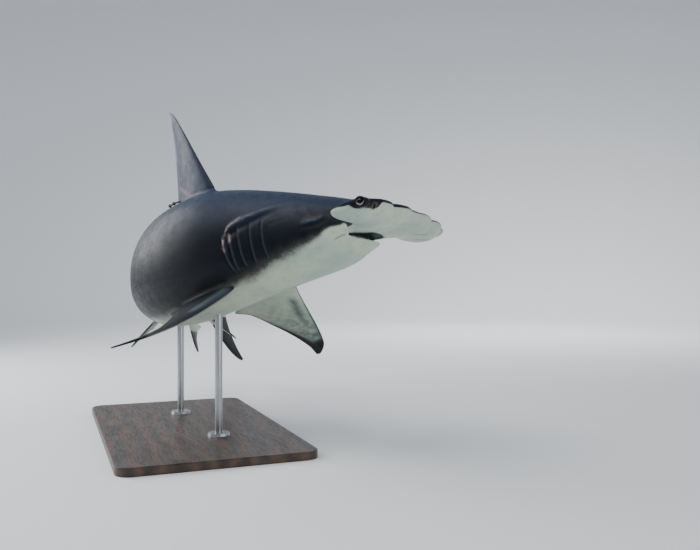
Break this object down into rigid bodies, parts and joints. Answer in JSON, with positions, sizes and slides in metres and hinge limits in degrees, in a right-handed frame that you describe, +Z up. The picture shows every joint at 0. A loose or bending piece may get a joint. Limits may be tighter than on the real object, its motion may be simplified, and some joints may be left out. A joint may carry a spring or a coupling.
{
  "type": "hammerhead shark",
  "caption": "Life-size hammerhead shark in a swimming turn, with a wide wing-shaped head, a slightly open mouth and a tall dorsal fin, held on a plain display stand.",
  "frame": {"origin": "middle of the whole model's box on the floor, under the stand", "axes": "+X towards the head end, +Y to the animal's left, +Z up"},
  "size_m": [2.9532, 1.421, 1.5674],
  "materials": {
    "skin": "satin",
    "eye": "gloss",
    "teeth": "gloss",
    "tag": "matte",
    "stand_metal": "satin",
    "stand_wood": "satin"
  },
  "bodies": {
    "root": {"hammer_left": "skin", "hammer_right": "skin", "eye_left": "eye", "eye_right": "eye", "head": "skin", "lower_jaw": "skin", "neck": "skin", "trunk_front": "skin", "trunk_rear": "skin", "tail_front": "skin", "tail_stem": "skin", "dorsal_fin_first": "skin", "dorsal_fin_second": "skin", "anal_fin": "skin", "pectoral_fin_left": "skin", "pelvic_fin_left": "skin", "pectoral_fin_right": "skin", "pelvic_fin_right": "skin", "tail_fin_upper": "skin", "tail_fin_lower": "skin", "dorsal_tag": "tag", "stand_rod_front": "stand_metal", "stand_rod_rear": "stand_metal", "stand_base": "stand_wood"}
  },
  "joints": []
}
